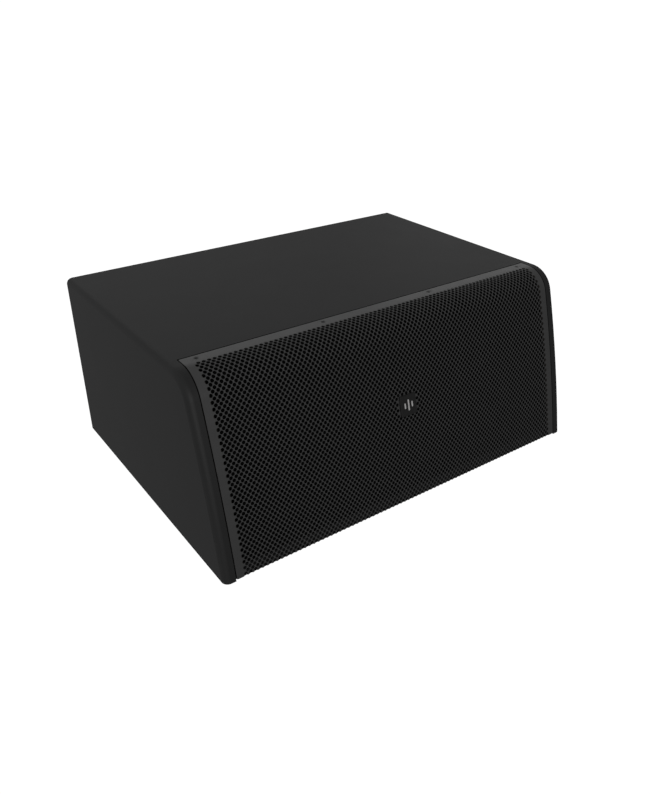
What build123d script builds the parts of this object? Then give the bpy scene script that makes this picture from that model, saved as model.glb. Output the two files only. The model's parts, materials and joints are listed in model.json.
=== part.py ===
"""Low stage monitor: a plywood cabinet with a raked, perforated front, two 250 mm woofers and a horn.

Frame: +Z up, the front faces -Y, +X is the right-hand side seen from the front. The origin is below the
middle of the cabinet, on the plane of the feet. All sizes are in millimetres.
"""

import os
from math import acos, cos, degrees, radians, sin, tan

from build123d import *

os.makedirs("parts", exist_ok=True)

# ---------------------------------------------------------------- driving dimensions
width = 700.0
body_height = 292.0
foot_height = 6.0
body_depth = 509.8

board = 18.0
long_edge_radius = 10.0
rear_edge_radius = 1.0

crown_radius = 46.5
crown_lean = 17.2
face_radius = 2444.0
rim_run = 16.0

sheet = 1.2
seam_gap = 2.0
seam_depth = 6.0
side_gap = 1.7
grille_lift = 0.6
bend_radius = 2.0
rim_width = 15.0
foam_thickness = 5.0

badge_drop = 136.0
badge_size = (31.5, 33.5)
badge_thickness = 2.4
badge_stud_spread = 10.0
stud_radius = 1.5

baffle_tilt = 25.0
baffle_toe = 24.0

woofer_spread = 200.0
horn_rise = 62.0
port_drop = 72.0
port_spread = 34.0

# ---------------------------------------------------------------- derived sizes and planes
rear_y = body_depth / 2
toe_y = rear_y - body_depth
top_z = foot_height + body_height
floor_z = foot_height + board
ceiling_z = top_z - board
inside_width = width - 2 * board
middle_z = (floor_z + ceiling_z) / 2
badge_height = top_z - badge_drop
grille_width = inside_width - 2 * side_gap

crown_turn = 90 - crown_lean
crown_unit = (-sin(radians(crown_turn)), cos(radians(crown_turn)))
crown_z = top_z - crown_radius
face_z = crown_z + (crown_radius - face_radius) * crown_unit[1]


def face_angle(z, inset=0.0):
    """Angle from straight up, in degrees, of the face arc at height z."""
    return degrees(acos((z - face_z) / (face_radius - inset)))


face_y = toe_y + face_radius * sin(radians(face_angle(foot_height)))
crown_y = face_y - (crown_radius - face_radius) * crown_unit[0]
seam_y = crown_y + rim_run


def face_point(z):
    """Depth of the cabinet's face at height z, below the crown."""
    return face_y - face_radius * sin(radians(face_angle(z)))


def front_arcs(inset, low_z):
    """Crown and face, set back by inset, from the crown's start down to low_z."""
    CenterArc((crown_y, crown_z), crown_radius - inset, 90, crown_turn)
    turn = face_angle(low_z, inset) - crown_turn
    CenterArc((face_y, face_z), face_radius - inset, 90 + crown_turn, turn)


def front_end(inset, low_z):
    """Lower end of front_arcs."""
    turn = radians(face_angle(low_z, inset))
    return (face_y - (face_radius - inset) * sin(turn), low_z)


def front_band(outer, inner, low_z):
    """Side view of a layer behind the face, between two insets, from the crown down to low_z."""
    with BuildLine() as outline:
        front_arcs(outer, low_z)
        Line(front_end(outer, low_z), front_end(inner, low_z))
        front_arcs(inner, low_z)
        Line((crown_y, top_z - inner), (crown_y, top_z - outer))
    make_face(outline.edges())


tilt = radians(baffle_tilt)
outward = Vector(0, -cos(tilt), sin(tilt))
upward = Vector(0, sin(tilt), cos(tilt))
baffle_low_y = toe_y + baffle_toe
baffle_middle = Vector(0, baffle_low_y + (middle_z - floor_z) * tan(tilt), middle_z)


def seat(x, rise):
    """Plane on the baffle's front face, x to the side and rise up the slope, facing outwards."""
    return Plane(baffle_middle + upward * rise + Vector(x, 0, 0), x_dir=(1, 0, 0), z_dir=outward)


def section(plane):
    """Plane through the axis of a round part on a seat: local x is radius, local y is outwards."""
    return Plane(plane.origin, x_dir=plane.x_dir, z_dir=plane.x_dir.cross(plane.z_dir))


def spin(plane):
    """Axis of a round part on a seat."""
    return Axis(plane.origin, plane.z_dir)


def save(builder, name):
    """Label a finished piece and write it to its own file."""
    builder.part.label = name
    export_step(builder.part, f"parts/{name}.step")


def ring(plane, inner, outer, low, high):
    """Round ring on a seat, between two radii and two heights, in the current part."""
    with BuildSketch(plane.offset(low)) as disc:
        Circle(outer)
        if inner > 0:
            Circle(inner, mode=Mode.SUBTRACT)
    extrude(disc.sketch, amount=high - low)


sides = {"left": -1, "right": 1}
woofer_seats = {name: seat(sign * woofer_spread, 0) for name, sign in sides.items()}
horn_seat = seat(0, horn_rise)
port_seats = [seat(sign * port_spread, -port_drop) for sign in sides.values()]
rear_face = Plane((0, rear_y, 0), x_dir=(-1, 0, 0), z_dir=(0, 1, 0))
floor_plane = Plane.XY.offset(floor_z)

# fasteners
grille_screw_x = (-308.7, -102.9, 102.9, 308.7)
grille_screw_run = 9.5
screw_radius = 1.9
screw_head_radius = 3.3
screw_length = 14.0
flange_screw_run = 16.0

# woofer: radii from its axis, and levels above the baffle's face
basket_radius = 129.0
basket_hole = 116.0
basket_mouth, basket_seat = 108.0, 76.0
wall_top, wall_foot = (114.0, -4.0), (81.0, -52.0)
bolt_circle = 122.5
bolt_radius = 2.5
bolts = 8
bolt_turn = 22.5
flange_low, flange_high = 1.5, 4.5
coil_radius = 32.6
coil_top = -34.0
roll_inner, roll_outer = 95.0, 109.0
surround_inner, surround_outer = 88.0, 118.0
surround_skin = 0.8
spider_level = -50.6
spider_sheet = 0.6
spider_outer = 74.0
gap_top, gap_bottom = -66.0, -76.0
magnet_bottom = -96.0
magnet_inner, magnet_outer = 42.0, 78.0
pole_radius = 31.2
pole_bore = 9.0

# horn and its driver
horn_flange = (138.0, 128.0)
horn_mouth = (116.0, 106.0)
horn_hole = (124.0, 114.0)
horn_waist = (55.0, 49.0)
waist_depth = 38.0
throat_radius = 12.7
throat_depth = 79.0
throat_plate = 6.0
horn_bolt_grid = (127.0, 116.0)
driver_radius = 48.0
driver_bolt_radius = 38.0
dome_radius = 22.4
cover_radius = 46.0
cover_depth = 20.0

# ports
port_radius = 25.0
port_wall = 3.0
port_length = 62.0
port_lip = 32.5

# rear fittings
handle_place = (0.0, 182.0)
handle_flange = (180.0, 112.0)
handle_dish = (150.0, 84.0)
handle_depth = 56.0
handle_bar_radius = 6.0
handle_bar_depth = 19.0
handle_bar_rise = 12.0
handle_grip_radius = 10.0
handle_grip_length = 112.0
input_place = (205.0, 104.0)
input_flange = (172.0, 104.0)
input_dish = (140.0, 72.0)
input_depth = 26.0
fitting_inset = 7.0
rebate = 3.4
dish_wall = 1.5
socket_spread = 30.0
socket_radius = 12.0

# feet
foot_radius = 19.0
foot_bore, foot_recess = 2.1, 6.0
foot_places = [(x, y) for x in (-290.0, 290.0) for y in (-182.0, 200.0)]

# crossover
crossover_centre = (-40.0, 128.0)
crossover_size = (190.0, 110.0)
crossover_inset = 7.0
crossover_lift = 9.0
crossover_board = 1.6

brace_y = 22.0

# ---------------------------------------------------------------- cabinet
for name, sign in sides.items():
    with BuildPart() as side_panel:
        inner_x = sign * inside_width / 2
        with BuildSketch(Plane.YZ.offset(inner_x)):
            with BuildLine():
                front_arcs(0, foot_height)
                Polyline(
                    front_end(0, foot_height),
                    (rear_y, foot_height),
                    (rear_y, top_z),
                    (crown_y, top_z),
                )
            make_face()
        extrude(amount=sign * board)
        outer_face = side_panel.faces().sort_by(Axis.X)[-1 if sign > 0 else 0]
        long_edges = [
            e for e in outer_face.edges() if e.center().Z > foot_height + 1 and e.center().Y < rear_y - 1
        ]
        fillet(long_edges, long_edge_radius)
        rear_edges = side_panel.faces().sort_by(Axis.Y)[-1].edges()
        outer_rear = [
            e for e in rear_edges if abs(e.center().X - inner_x) > 1 and e.center().Z > foot_height + 1
        ]
        fillet(outer_rear, rear_edge_radius)
    save(side_panel, f"side_panel_{name}")

with BuildPart() as top_panel:
    lip_z = top_z - sheet
    with BuildSketch(Plane.YZ.offset(-inside_width / 2)):
        with BuildLine():
            Polyline(
                (rear_y, ceiling_z),
                (rear_y, top_z),
                (seam_y + seam_gap / 2, top_z),
                (seam_y + seam_gap / 2, top_z - seam_depth),
                (seam_y - seam_gap / 2, top_z - seam_depth),
                (seam_y - seam_gap / 2, lip_z),
                (crown_y, lip_z),
                (crown_y, ceiling_z),
                close=True,
            )
        make_face()
    extrude(amount=inside_width)
    fillet(top_panel.edges().group_by(Axis.Z)[-1].sort_by(Axis.Y)[-1], rear_edge_radius)
    with BuildSketch(Plane.XY.offset(lip_z)):
        with Locations([(x, seam_y - grille_screw_run) for x in grille_screw_x]):
            Circle(screw_radius + 0.1)
    extrude(amount=-screw_length, mode=Mode.SUBTRACT)
save(top_panel, "top_panel")

flange_z = foot_height + grille_lift + sheet
lip_front_y = front_end(0, flange_z)[0] + 11
flange_end_y = lip_front_y + 22
with BuildPart() as bottom_panel:
    with BuildSketch(Plane.YZ.offset(-inside_width / 2)):
        with BuildLine():
            Polyline(
                (rear_y, foot_height),
                (rear_y, floor_z),
                (lip_front_y, floor_z),
                (lip_front_y, flange_z),
                (flange_end_y, flange_z),
                (flange_end_y, foot_height),
                close=True,
            )
        make_face()
    extrude(amount=inside_width)
    with BuildSketch(Plane.XY.offset(foot_height)):
        with Locations([(x, lip_front_y + flange_screw_run) for x in grille_screw_x]):
            Circle(screw_radius + 0.1)
        with Locations(foot_places):
            Circle(screw_radius + 0.1)
    extrude(amount=screw_length + grille_lift + sheet, mode=Mode.SUBTRACT)
save(bottom_panel, "bottom_panel")

with BuildPart() as rear_panel:
    with BuildSketch(rear_face):
        with Locations((0, middle_z)):
            Rectangle(inside_width, ceiling_z - floor_z)
    extrude(amount=-board)
    for place, flange, dish in (
        (handle_place, handle_flange, handle_dish),
        (input_place, input_flange, input_dish),
    ):
        with BuildSketch(rear_face):
            with Locations(place):
                RectangleRounded(flange[0] + 1, flange[1] + 1, 9)
        extrude(amount=-rebate, mode=Mode.SUBTRACT)
        with BuildSketch(rear_face):
            with Locations(place):
                RectangleRounded(dish[0] + 2, dish[1] + 2, 9)
                with GridLocations(flange[0] - 2 * fitting_inset, flange[1] - 2 * fitting_inset, 2, 2):
                    Circle(screw_radius + 0.1)
        extrude(amount=-board, mode=Mode.SUBTRACT)
save(rear_panel, "rear_panel")

with BuildPart() as baffle:
    baffle_run = board / cos(tilt)
    slope = (ceiling_z - floor_z) * tan(tilt)
    with BuildSketch(Plane.YZ.offset(-inside_width / 2)):
        with BuildLine():
            Polyline(
                (baffle_low_y, floor_z),
                (baffle_low_y + slope, ceiling_z),
                (baffle_low_y + slope + baffle_run, ceiling_z),
                (baffle_low_y + baffle_run, floor_z),
                close=True,
            )
        make_face()
    extrude(amount=inside_width)
    for plane in woofer_seats.values():
        with BuildSketch(plane):
            Circle(basket_hole)
            with PolarLocations(bolt_circle, bolts, start_angle=bolt_turn):
                Circle(bolt_radius + 0.2)
        extrude(amount=-board, mode=Mode.SUBTRACT)
        with BuildSketch(plane.offset(-board)):
            with PolarLocations(bolt_circle, bolts, start_angle=bolt_turn):
                Circle(3.6)
        extrude(amount=8, mode=Mode.SUBTRACT)
    with BuildSketch(horn_seat):
        RectangleRounded(*horn_hole, 14)
        with GridLocations(*horn_bolt_grid, 2, 2):
            Circle(screw_radius + 0.1)
    extrude(amount=-board, mode=Mode.SUBTRACT)
    for plane in port_seats:
        with BuildSketch(plane):
            Circle(port_radius + port_wall + 0.2)
        extrude(amount=-board, mode=Mode.SUBTRACT)
save(baffle, "baffle")

with BuildPart() as window_brace:
    with BuildSketch(Plane.XZ.offset(-brace_y)):
        with Locations((0, middle_z)):
            Rectangle(inside_width, ceiling_z - floor_z)
            with GridLocations(214, 0, 3, 1):
                RectangleRounded(176, 176, 30, mode=Mode.SUBTRACT)
    extrude(amount=-board)
save(window_brace, "window_brace")

with BuildPart() as corner_battens:
    batten = 18.0
    batten_y = rear_y - board - batten
    for z in (floor_z, ceiling_z - batten):
        with BuildSketch(Plane.XY.offset(z)):
            with Locations((0, batten_y + batten / 2)):
                Rectangle(inside_width, batten)
        extrude(amount=batten)
    for x in (-inside_width / 2, inside_width / 2 - batten):
        with BuildSketch(Plane.XY.offset(floor_z + batten + 1)):
            with Locations((x + batten / 2, batten_y + batten / 2)):
                Rectangle(batten, batten)
        extrude(amount=ceiling_z - floor_z - 2 * batten - 2)
save(corner_battens, "corner_battens")

with BuildPart() as grille_rails:
    rail_depth = 16.0
    rail_step = 9.0
    rail_low = floor_z + 0.5
    rail_width = inside_width / 2 - grille_width / 2 + rim_width - 2
    for sign in sides.values():
        wall = Plane.YZ.offset(sign * inside_width / 2)
        with BuildSketch(wall):
            front_band(sheet + 0.1, rail_depth, rail_low)
            with Locations((crown_y, crown_z)):
                Rectangle(4, 2 * crown_radius, mode=Mode.SUBTRACT)
        extrude(amount=-sign * rail_width)
        with BuildSketch(wall):
            front_band(0, rail_step, rail_low - 1)
        extrude(amount=-sign * (side_gap + 1), mode=Mode.SUBTRACT)
save(grille_rails, "grille_rails")

# ---------------------------------------------------------------- grille and badge
low_z = foot_height + grille_lift
badge_lean = radians(90 - face_angle(badge_height))
badge_outward = (0, -cos(badge_lean), sin(badge_lean))
badge_seat = Plane((0, face_point(badge_height), badge_height), x_dir=(1, 0, 0), z_dir=badge_outward)
badge_studs = [(-badge_stud_spread, 0.0), (badge_stud_spread, 0.0)]

flange_screw_y = lip_front_y + flange_screw_run
grille_screw_faces = [Plane((x, seam_y - grille_screw_run, top_z)) for x in grille_screw_x]
for x in grille_screw_x:
    grille_screw_faces.append(Plane((x, flange_screw_y, low_z), x_dir=(1, 0, 0), z_dir=(0, 0, -1)))

with BuildPart() as grille:
    rim_y = seam_y - seam_gap / 2
    flange_tip_y = flange_end_y - 1
    outer_toe = front_end(0, low_z)
    inner_toe = front_end(sheet, low_z + sheet)
    with BuildSketch(Plane.YZ.offset(-grille_width / 2)) as grille_section:
        with BuildLine():
            Line((rim_y, top_z), (crown_y, top_z))
            front_arcs(0, low_z)
            Polyline(outer_toe, (flange_tip_y, low_z), (flange_tip_y, low_z + sheet), inner_toe)
            front_arcs(sheet, low_z + sheet)
            Polyline((crown_y, top_z - sheet), (rim_y, top_z - sheet), (rim_y, top_z))
        make_face()
        outer_corner = grille_section.vertices().sort_by_distance((*outer_toe, 0))[0]
        fillet(outer_corner, bend_radius)
        inner_corner = grille_section.vertices().sort_by_distance((*inner_toe, 0))[0]
        fillet(inner_corner, bend_radius - sheet)
    extrude(amount=grille_width)
    for face in grille_screw_faces:
        with Locations(face):
            CounterSinkHole(screw_radius + 0.1, screw_head_radius + 0.25, 2 * sheet)
    with BuildSketch(badge_seat.offset(-2 * sheet)):
        with Locations(badge_studs):
            Circle(stud_radius + 0.1)
    extrude(amount=3 * sheet, mode=Mode.SUBTRACT)
save(grille, "grille")

with BuildPart() as grille_foam:
    foam_inset = sheet + 0.1
    foam_low = floor_z + 1
    foam_width = grille_width - 2 * rim_width - 2
    with BuildSketch(Plane.YZ.offset(-foam_width / 2)):
        front_band(foam_inset, foam_inset + foam_thickness, foam_low)
        with Locations((crown_y, crown_z)):
            Rectangle(2, 2 * crown_radius, mode=Mode.SUBTRACT)
    extrude(amount=foam_width)
    with BuildSketch(badge_seat):
        with Locations(badge_studs):
            Circle(4)
    extrude(amount=-20, mode=Mode.SUBTRACT)
save(grille_foam, "grille_foam")

with BuildPart() as grille_screws:
    for face in grille_screw_faces:
        profile = Plane(face.origin, x_dir=(1, 0, 0), z_dir=Vector(1, 0, 0).cross(face.z_dir))
        with BuildSketch(profile):
            Polygon(
                (0, -screw_length),
                (screw_radius, -screw_length),
                (screw_radius, -sheet),
                (screw_head_radius, -0.1),
                (screw_head_radius, 0),
                (0, 0),
                align=None,
            )
        revolve(axis=Axis(face.origin, face.z_dir))
        with BuildSketch(face):
            RegularPolygon(1.3, 6)
        extrude(amount=-1, mode=Mode.SUBTRACT)
save(grille_screws, "grille_screws")

with BuildPart() as badge_plate:
    with BuildSketch(badge_seat):
        RectangleRounded(*badge_size, 2.5)
    extrude(amount=badge_thickness)
    fillet(badge_plate.faces().sort_by(Axis(badge_seat.origin, badge_seat.z_dir))[-1].edges(), 0.5)
    with BuildSketch(badge_seat):
        with Locations(badge_studs):
            Circle(stud_radius)
    extrude(amount=-5)
save(badge_plate, "badge_plate")

with BuildPart() as badge_mark:
    with BuildSketch(badge_seat.offset(badge_thickness)):
        for x, height in ((-7.0, 9.0), (0.0, 18.0), (7.0, 9.0)):
            with Locations((x, 0)):
                SlotOverall(height, 2.6, rotation=90)
    extrude(amount=0.3)
save(badge_mark, "badge_mark")

# ---------------------------------------------------------------- woofers
for name, plane in woofer_seats.items():
    with BuildPart() as basket:
        with BuildSketch(section(plane)):
            with BuildLine():
                Polyline(
                    (basket_radius, flange_low),
                    (basket_radius, flange_high),
                    (basket_mouth, flange_high),
                    (basket_mouth, wall_top[1]),
                    (basket_seat, spider_level),
                    (66, spider_level),
                    (66, spider_level - 3),
                    (68, spider_level - 3),
                    (68, gap_top + 4),
                    (36, gap_top + 4),
                    (36, gap_top),
                    (73, gap_top),
                    wall_foot,
                    wall_top,
                    (wall_top[0], flange_low),
                    close=True,
                )
            make_face()
        revolve(axis=spin(plane))
        with BuildSketch(plane.offset(-9)):
            with PolarLocations(0, 6):
                Polygon((79, -26), (106, -38), (106, 38), (79, 26), align=None)
        extrude(amount=-48, mode=Mode.SUBTRACT)
        with BuildSketch(plane):
            with PolarLocations(bolt_circle, bolts, start_angle=bolt_turn):
                Circle(bolt_radius + 0.2)
        extrude(amount=10, mode=Mode.SUBTRACT)
    save(basket, f"basket_{name}")

    with BuildPart() as surround:
        roll_middle = (roll_inner + roll_outer) / 2
        lip_top = flange_high + surround_skin
        roll_top = lip_top + (roll_outer - roll_inner) / 2
        hollow_inner = roll_inner + surround_skin
        hollow_outer = roll_outer - surround_skin
        with BuildSketch(section(plane)):
            with BuildLine():
                Polyline((surround_outer, flange_high), (surround_outer, lip_top), (roll_outer, lip_top))
                ThreePointArc((roll_outer, lip_top), (roll_middle, roll_top), (roll_inner, lip_top))
                Polyline(
                    (roll_inner, lip_top),
                    (surround_inner, lip_top),
                    (surround_inner, flange_high),
                    (hollow_inner, flange_high),
                )
                ThreePointArc(
                    (hollow_inner, flange_high),
                    (roll_middle, roll_top - surround_skin),
                    (hollow_outer, flange_high),
                )
                Line((hollow_outer, flange_high), (surround_outer, flange_high))
            make_face()
        revolve(axis=spin(plane))
    save(surround, f"surround_{name}")

    with BuildPart() as cone:
        with BuildSketch(section(plane)):
            with BuildLine():
                Polyline(
                    (surround_inner + 1, flange_high - 1),
                    (roll_inner, flange_high - 1),
                    (roll_inner, flange_high),
                    (surround_inner, flange_high),
                )
                ThreePointArc((surround_inner, flange_high), (60, -17), (coil_radius + 0.9, coil_top))
                Line((coil_radius + 0.9, coil_top), (coil_radius + 0.1, coil_top - 2))
                ThreePointArc(
                    (coil_radius + 0.1, coil_top - 2), (60, -18.5), (surround_inner + 1, flange_high - 1)
                )
            make_face()
        revolve(axis=spin(plane))
    save(cone, f"cone_{name}")

    with BuildPart() as dust_cap:
        cap_top, cap_skin = -13.02, 0.8
        with BuildSketch(section(plane)):
            with BuildLine():
                Line((1, cap_top - cap_skin), (1, cap_top))
                ThreePointArc((1, cap_top), (23, -17.6), (42, -28))
                Line((42, -28), (41.2, -28.6))
                ThreePointArc((41.2, -28.6), (22.6, -18.4), (1, cap_top - cap_skin))
            make_face()
        revolve(axis=spin(plane))
        ring(plane, 0, 1.2, cap_top - cap_skin, cap_top)
    save(dust_cap, f"dust_cap_{name}")

    with BuildPart() as spider:
        wave_start, wave_end, waves, wave_height = 37.0, 65.0, 7, 1.7
        wave = (wave_end - wave_start) / waves
        collar = coil_radius + 0.1
        collar_top = spider_level + 3
        spider_top = spider_level + spider_sheet
        with BuildSketch(section(plane)):
            with BuildLine():
                for level in (spider_level, spider_top):
                    for k in range(waves):
                        r = wave_start + k * wave
                        crest = level + (wave_height if k % 2 else -wave_height)
                        ThreePointArc((r, level), (r + wave / 2, crest), (r + wave, level))
                Polyline(
                    (wave_start, spider_level),
                    (collar, spider_level),
                    (collar, collar_top),
                    (collar + spider_sheet, collar_top),
                    (collar + spider_sheet, spider_top),
                    (wave_start, spider_top),
                )
                Polyline(
                    (wave_end, spider_level),
                    (spider_outer, spider_level),
                    (spider_outer, spider_top),
                    (wave_end, spider_top),
                )
            make_face()
        revolve(axis=spin(plane))
    save(spider, f"spider_{name}")

    with BuildPart() as voice_coil:
        former = coil_radius - 0.6
        ring(plane, former, coil_radius, -82, coil_top)
        ring(plane, former, coil_radius + 1.0, -80, -62)
    save(voice_coil, f"voice_coil_{name}")

    with BuildPart() as top_plate:
        ring(plane, coil_radius + 1.9, 70, gap_bottom, gap_top)
    save(top_plate, f"top_plate_{name}")

    with BuildPart() as magnet:
        ring(plane, magnet_inner, magnet_outer, magnet_bottom, gap_bottom)
        fillet(magnet.edges().filter_by(GeomType.CIRCLE).sort_by(SortBy.RADIUS)[-2:], 2)
    save(magnet, f"magnet_{name}")

    with BuildPart() as pole_piece:
        ring(plane, pole_bore, 72, magnet_bottom - 8, magnet_bottom)
        ring(plane, pole_bore, pole_radius, magnet_bottom, gap_top)
    save(pole_piece, f"pole_piece_{name}")

with BuildPart() as woofer_gaskets:
    for plane in woofer_seats.values():
        ring(plane, basket_hole - 0.5, basket_radius, 0, flange_low)
        with BuildSketch(plane):
            with PolarLocations(bolt_circle, bolts, start_angle=bolt_turn):
                Circle(bolt_radius + 0.3)
        extrude(amount=flange_low, mode=Mode.SUBTRACT)
save(woofer_gaskets, "woofer_gaskets")

with BuildPart() as woofer_screws:
    for plane in woofer_seats.values():
        for radius, low, high in ((bolt_radius, -21, flange_high), (4.25, flange_high, flange_high + 4.5)):
            with BuildSketch(plane.offset(low)):
                with PolarLocations(bolt_circle, bolts, start_angle=bolt_turn):
                    Circle(radius)
            extrude(amount=high - low)
        with BuildSketch(plane.offset(flange_high + 4.5)):
            with PolarLocations(bolt_circle, bolts, start_angle=bolt_turn):
                RegularPolygon(2.2, 6)
        extrude(amount=-2.5, mode=Mode.SUBTRACT)
save(woofer_screws, "woofer_screws")

with BuildPart() as tee_nuts:
    for plane in woofer_seats.values():
        for radius, low, high in ((3.5, -board, -board + 7.5), (7.5, -board - 1.5, -board)):
            with BuildSketch(plane.offset(low)):
                with PolarLocations(bolt_circle, bolts, start_angle=bolt_turn):
                    Circle(radius)
                    Circle(bolt_radius + 0.05, mode=Mode.SUBTRACT)
            extrude(amount=high - low)
save(tee_nuts, "tee_nuts")

terminal_top, terminal_low = -22.0, -42.0
terminal_thickness = 4.0


def beside_basket(level):
    """Radius just outside the basket's sloping wall at a level."""
    share = (level - wall_top[1]) / (wall_foot[1] - wall_top[1])
    return wall_top[0] + share * (wall_foot[0] - wall_top[0]) + 0.1


with BuildPart() as woofer_terminals:
    for plane in woofer_seats.values():
        side_plane = Plane(plane.origin, x_dir=upward, z_dir=upward.cross(outward))
        with BuildSketch(side_plane):
            with BuildLine():
                Polyline(
                    (beside_basket(terminal_top), terminal_top),
                    (beside_basket(terminal_top) + terminal_thickness, terminal_top),
                    (beside_basket(terminal_low) + terminal_thickness, terminal_low),
                    (beside_basket(terminal_low), terminal_low),
                    close=True,
                )
            make_face()
        extrude(amount=13, both=True)
save(woofer_terminals, "woofer_terminals")

# ---------------------------------------------------------------- horn and compression driver
with BuildPart() as horn:
    with BuildSketch(horn_seat):
        RectangleRounded(*horn_flange, 12)
    extrude(amount=5)
    with BuildSketch(horn_seat.offset(0.01)):
        RectangleRounded(horn_hole[0] - 1, horn_hole[1] - 1, 13)
    with BuildSketch(horn_seat.offset(-waist_depth)):
        RectangleRounded(horn_waist[0] + 7, horn_waist[1] + 7, 20)
    with BuildSketch(horn_seat.offset(-throat_depth)):
        Circle(throat_radius + 4)
    loft()
    ring(horn_seat, 0, driver_radius, -throat_depth - throat_plate, -throat_depth)
    with BuildSketch(horn_seat.offset(5)):
        RectangleRounded(*horn_mouth, 12)
    with BuildSketch(horn_seat.offset(-waist_depth)):
        RectangleRounded(*horn_waist, 17)
    with BuildSketch(horn_seat.offset(-throat_depth)):
        Circle(throat_radius)
    loft(mode=Mode.SUBTRACT)
    with BuildSketch(horn_seat.offset(-throat_depth)):
        Circle(throat_radius)
        with PolarLocations(driver_bolt_radius, 4, start_angle=45):
            Circle(bolt_radius + 0.1)
    extrude(amount=-throat_plate, mode=Mode.SUBTRACT)
    with BuildSketch(horn_seat):
        with GridLocations(*horn_bolt_grid, 2, 2):
            Circle(screw_radius + 0.2)
    extrude(amount=5, mode=Mode.SUBTRACT)
save(horn, "horn")

hf_plate = 6.0
hf_front = -throat_depth - throat_plate
hf_magnet_top = hf_front - hf_plate
hf_magnet_low = hf_magnet_top - 16
hf_rear = hf_magnet_low - hf_plate
with BuildPart() as hf_pole_piece:
    with BuildSketch(section(horn_seat)):
        with BuildLine():
            Polyline(
                (throat_radius, hf_front),
                (driver_radius, hf_front),
                (driver_radius, hf_magnet_top),
                (21, hf_magnet_top),
                (21, hf_rear),
                (18.5, hf_rear),
                close=True,
            )
        make_face()
    revolve(axis=spin(horn_seat))
    with BuildSketch(horn_seat.offset(hf_front)):
        with PolarLocations(driver_bolt_radius, 4, start_angle=45):
            Circle(bolt_radius + 0.1)
    extrude(amount=-hf_plate, mode=Mode.SUBTRACT)
save(hf_pole_piece, "hf_pole_piece")

with BuildPart() as horn_fasteners:
    for radius, low, high in ((screw_radius, -13, 5), (3.8, 5, 7.2)):
        with BuildSketch(horn_seat.offset(low)):
            with GridLocations(*horn_bolt_grid, 2, 2):
                Circle(radius)
        extrude(amount=high - low)
    for radius, low, high in (
        (bolt_radius, hf_magnet_top + 0.3, -throat_depth),
        (4.2, -throat_depth, -throat_depth + 4),
    ):
        with BuildSketch(horn_seat.offset(low)):
            with PolarLocations(driver_bolt_radius, 4, start_angle=45):
                Circle(radius)
        extrude(amount=high - low)
    for level, size, places in (
        (7.2, 1.6, GridLocations(*horn_bolt_grid, 2, 2)),
        (-throat_depth + 4, 2.0, PolarLocations(driver_bolt_radius, 4, start_angle=45)),
    ):
        with BuildSketch(horn_seat.offset(level)):
            with places:
                RegularPolygon(size, 6)
        extrude(amount=-1.4, mode=Mode.SUBTRACT)
save(horn_fasteners, "horn_fasteners")

with BuildPart() as hf_magnet:
    ring(horn_seat, 27, cover_radius, hf_magnet_low, hf_magnet_top)
save(hf_magnet, "hf_magnet")

with BuildPart() as hf_top_plate:
    ring(horn_seat, dome_radius + 1, driver_radius, hf_rear, hf_magnet_low)
save(hf_top_plate, "hf_top_plate")

with BuildPart() as hf_diaphragm:
    dome_level = hf_rear - 5
    dome_bottom = dome_level - 8.8
    dome_skin = 0.6
    former_inner = dome_radius - 0.5
    with BuildSketch(section(horn_seat)):
        with BuildLine():
            Polyline(
                (former_inner, dome_level + 11),
                (dome_radius, dome_level + 11),
                (dome_radius, dome_level + 0.5),
                (27, dome_level + 0.5),
                (27, dome_level),
                (dome_radius, dome_level),
            )
            ThreePointArc((dome_radius, dome_level), (12, dome_level - 6.6), (1, dome_bottom))
            Line((1, dome_bottom), (1, dome_bottom + dome_skin))
            ThreePointArc(
                (1, dome_bottom + dome_skin), (11.8, dome_level - 6), (former_inner, dome_level + 0.1)
            )
            Line((former_inner, dome_level + 0.1), (former_inner, dome_level + 11))
        make_face()
    revolve(axis=spin(horn_seat))
    ring(horn_seat, 0, 1.2, dome_bottom, dome_bottom + dome_skin)
save(hf_diaphragm, "hf_diaphragm")

clamp_low = hf_rear - 7
with BuildPart() as hf_clamp_ring:
    ring(horn_seat, 27.6, cover_radius, clamp_low, hf_rear)
save(hf_clamp_ring, "hf_clamp_ring")

with BuildPart() as hf_cover:
    ring(horn_seat, 0, cover_radius, clamp_low - cover_depth, clamp_low)
    fillet(hf_cover.faces().sort_by(Axis(horn_seat.origin, horn_seat.z_dir))[0].edges(), 5)
    with BuildSketch(horn_seat.offset(clamp_low)):
        Circle(cover_radius - 4)
    extrude(amount=3 - cover_depth, mode=Mode.SUBTRACT)
save(hf_cover, "hf_cover")

# ---------------------------------------------------------------- ports
with BuildPart() as port_tubes:
    for plane in port_seats:
        with BuildSketch(section(plane)):
            with BuildLine():
                Polyline(
                    (port_radius, -6),
                    (port_radius, -port_length),
                    (port_radius + port_wall, -port_length),
                    (port_radius + port_wall, 0),
                    (port_lip, 0),
                    (port_lip, 3),
                    (port_lip - 1.5, 3),
                )
                ThreePointArc((port_lip - 1.5, 3), (port_radius + 1.7, 0), (port_radius, -6))
            make_face()
        revolve(axis=spin(plane))
save(port_tubes, "port_tubes")

# ---------------------------------------------------------------- crossover
board_plane = Plane.XY.offset(floor_z + crossover_lift)
half_x = crossover_size[0] / 2 - crossover_inset
half_y = crossover_size[1] / 2 - crossover_inset
crossover_corners = [
    (crossover_centre[0] + x, crossover_centre[1] + y) for x in (-half_x, half_x) for y in (-half_y, half_y)
]
with BuildPart() as crossover_pcb:
    with BuildSketch(board_plane):
        with Locations(crossover_centre):
            RectangleRounded(*crossover_size, 4)
        with Locations(crossover_corners):
            Circle(1.7, mode=Mode.SUBTRACT)
    extrude(amount=crossover_board)
save(crossover_pcb, "crossover_pcb")

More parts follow.
